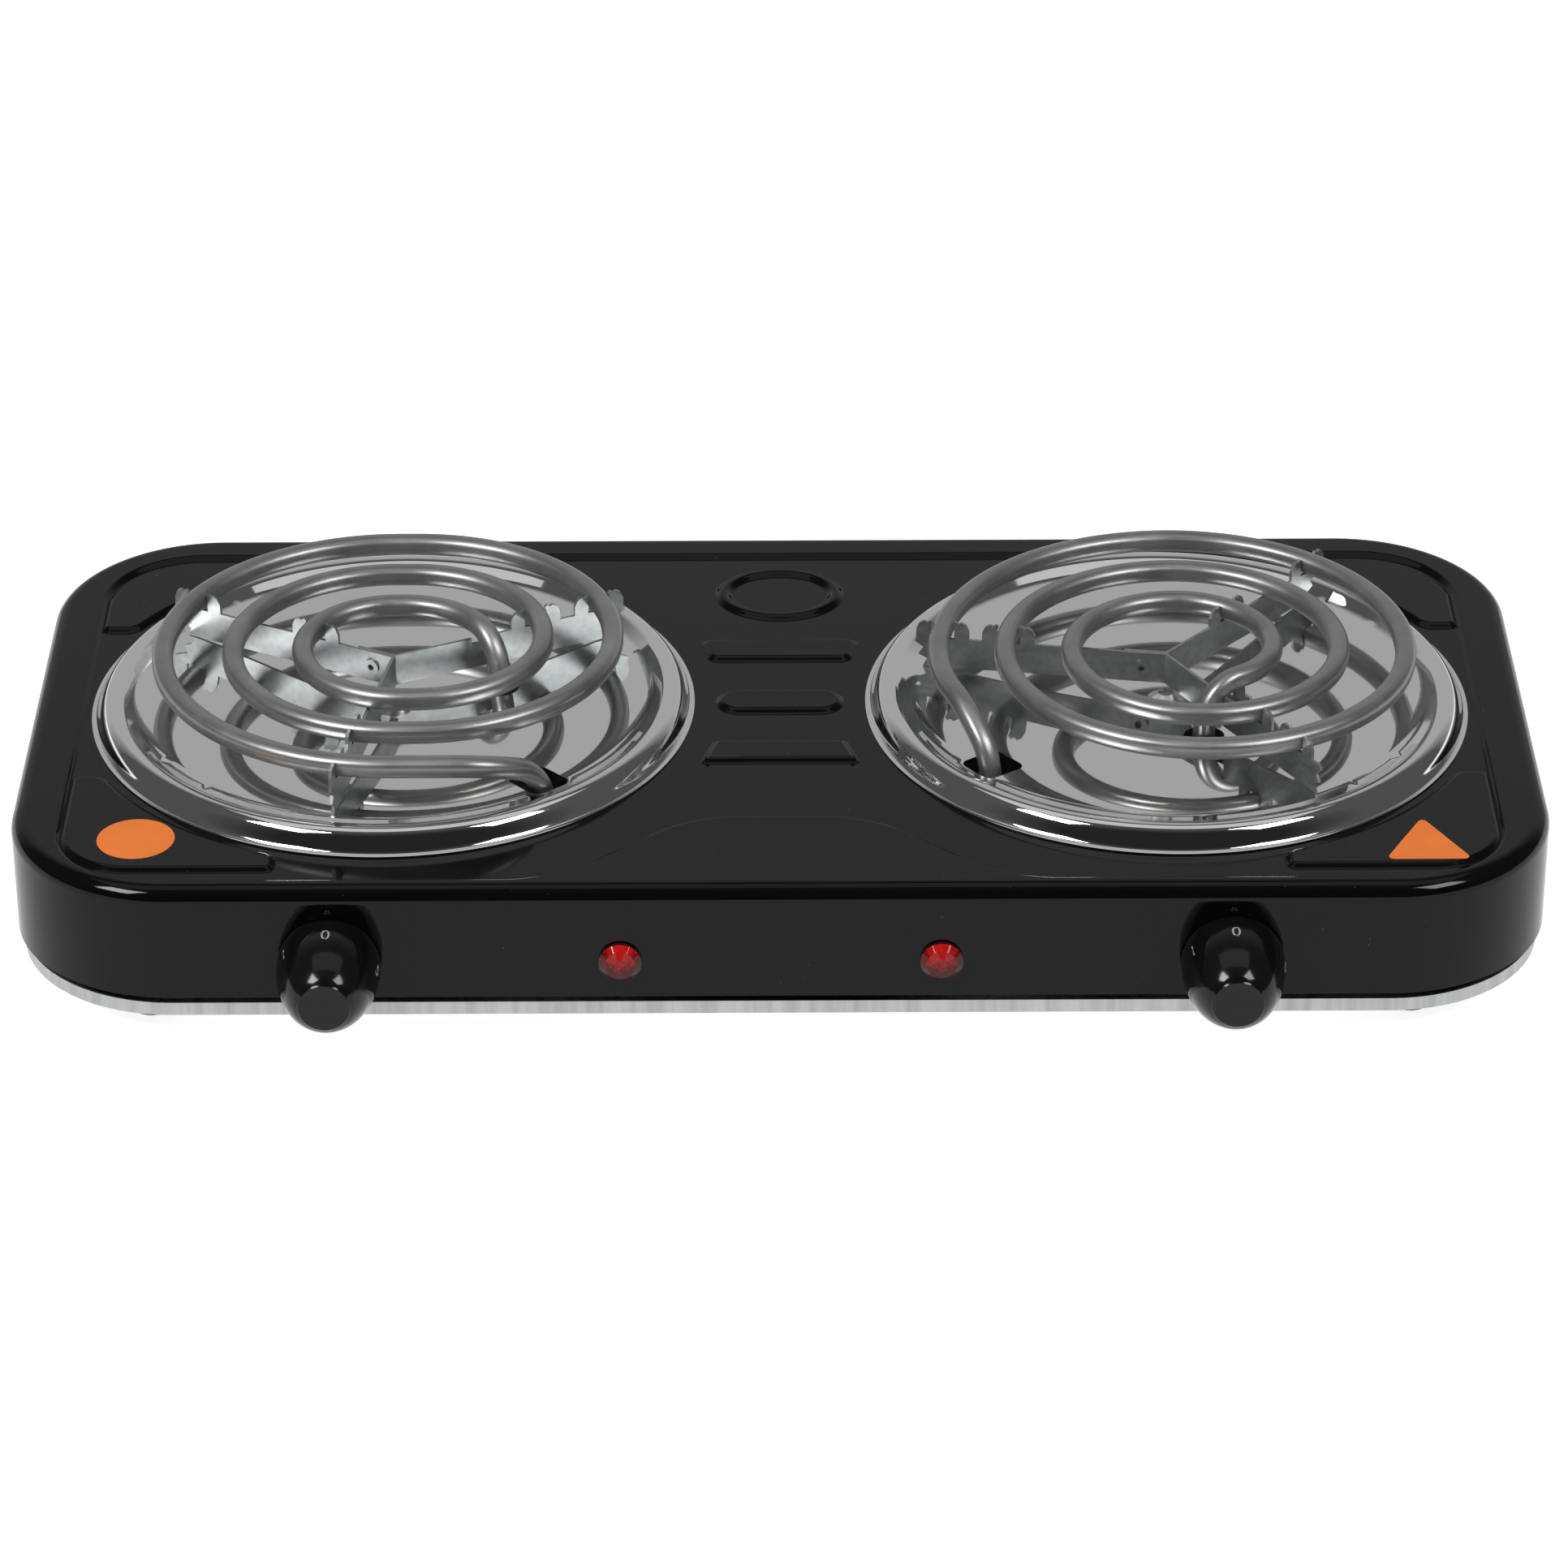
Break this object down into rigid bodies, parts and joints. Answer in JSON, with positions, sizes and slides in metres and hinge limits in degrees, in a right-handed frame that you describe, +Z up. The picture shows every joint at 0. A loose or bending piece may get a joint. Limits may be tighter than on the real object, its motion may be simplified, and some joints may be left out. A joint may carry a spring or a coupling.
{
  "type": "two-burner electric hot plate",
  "caption": "Table-top electric hot plate: black enamelled housing, spiral elements over chromed drip pans, front knobs and red pilot lamps, rubber feet.",
  "frame": {"origin": "under the middle of the overall box, on the surface that the feet stand on", "axes": "+X to the user's right along the length, +Y away from the user, +Z up"},
  "size_m": [0.4586, 0.2514, 0.0712],
  "materials": {
    "enamel": "black gloss enamel",
    "tray_steel": "plated sheet steel",
    "chrome": "polished chrome plate",
    "element_sheath": "dark oxidised satin sheath",
    "galvanised": "bright galvanised strip",
    "plated_steel": "zinc plated steel",
    "knob_plastic": "glossy black phenolic",
    "lens_red": "translucent red",
    "lamp_holder": "natural nylon",
    "ceramic": "white steatite ceramic",
    "brass": "bare metal",
    "block_plastic": "moulded white",
    "rubber": "black rubber"
  },
  "bodies": {
    "root": {"base_plate": "tray_steel", "base_screws": "plated_steel", "burner_bridge_left": "plated_steel", "burner_bridge_right": "plated_steel", "centre_nuts": "plated_steel", "centre_screws": "plated_steel", "coil_left": "element_sheath", "coil_right": "element_sheath", "cord_bush": "rubber", "drip_pan_left": "chrome", "drip_pan_right": "chrome", "earth_nut": "plated_steel", "earth_screw": "plated_steel", "element_end_beads": "ceramic", "element_end_pins": "brass", "feet": "rubber", "housing": "enamel", "housing_brackets": "plated_steel", "lamp_body_left": "lamp_holder", "lamp_body_right": "lamp_holder", "lamp_lens_left": "lens_red", "lamp_lens_right": "lens_red", "support_arm_left": "galvanised", "support_arm_right": "galvanised", "support_rivets": "galvanised", "support_strip_left": "galvanised", "support_strip_right": "galvanised", "terminal_block": "block_plastic", "terminal_screws": "brass", "thermostat_body_left": "ceramic", "thermostat_body_right": "ceramic", "thermostat_leaf_left": "brass", "thermostat_leaf_right": "brass", "thermostat_plate_left": "plated_steel", "thermostat_plate_right": "plated_steel", "thermostat_screws": "plated_steel"},
    "knob_left": {"knob_left": "knob_plastic", "thermostat_shaft_left": "plated_steel"},
    "knob_right": {"knob_right": "knob_plastic", "thermostat_shaft_right": "plated_steel"}
  },
  "joints": [
    {"name": "knob_left_turn", "type": "hinge", "parent": "root", "child": "knob_left", "pos_m": [-0.1322, -0.1003, 0.0271], "axis": [0, 1, 0], "range_deg": [0, 280]},
    {"name": "knob_right_turn", "type": "hinge", "parent": "root", "child": "knob_right", "pos_m": [0.1322, -0.1003, 0.0271], "axis": [0, 1, 0], "range_deg": [0, 280]}
  ]
}
